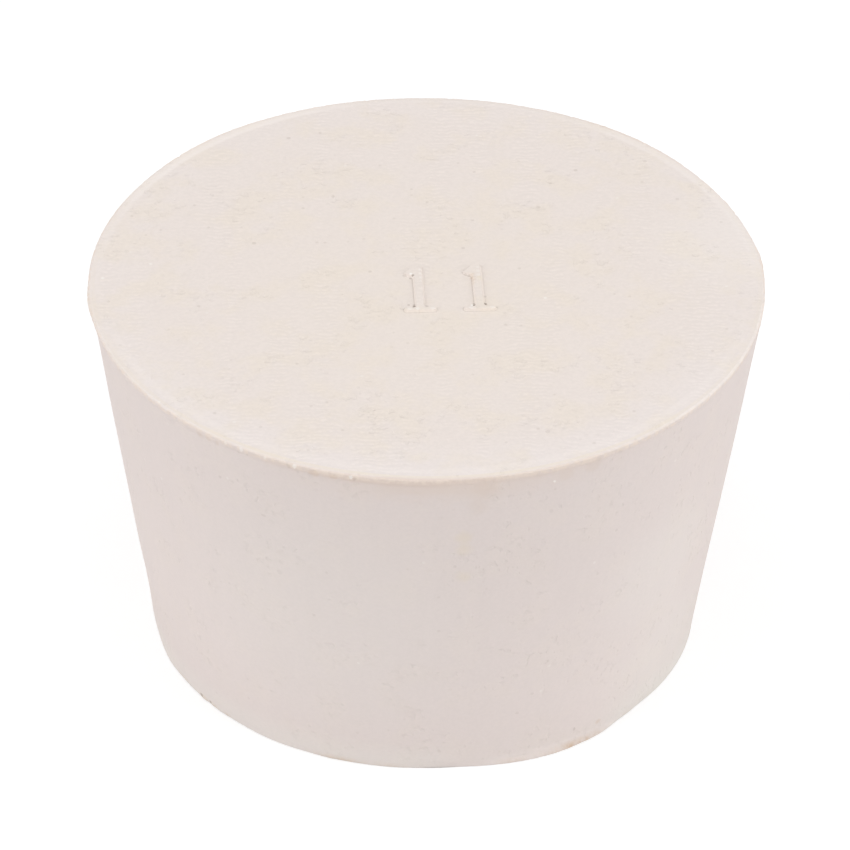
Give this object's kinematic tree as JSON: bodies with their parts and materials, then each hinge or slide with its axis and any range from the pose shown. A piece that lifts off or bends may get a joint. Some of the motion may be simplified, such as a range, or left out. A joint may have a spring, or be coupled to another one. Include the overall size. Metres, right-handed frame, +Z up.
{
  "type": "rubber stopper",
  "caption": "Solid tapered rubber stopper with a plain raised size mark, pressed into the neck of a flask or bottle to close it.",
  "frame": {"origin": "centre of the narrow end's flat face, which the stopper rests on", "axes": "+Z up along the taper's axis, from the narrow end to the wide end; the size mark on the wide face reads upright seen from -Y, with its line of digits along +X"},
  "size_m": [0.056, 0.056, 0.0334],
  "materials": {
    "moulded_rubber": "matte cream natural rubber, compression moulded"
  },
  "bodies": {
    "root": {"stopper": "moulded_rubber"}
  },
  "joints": []
}
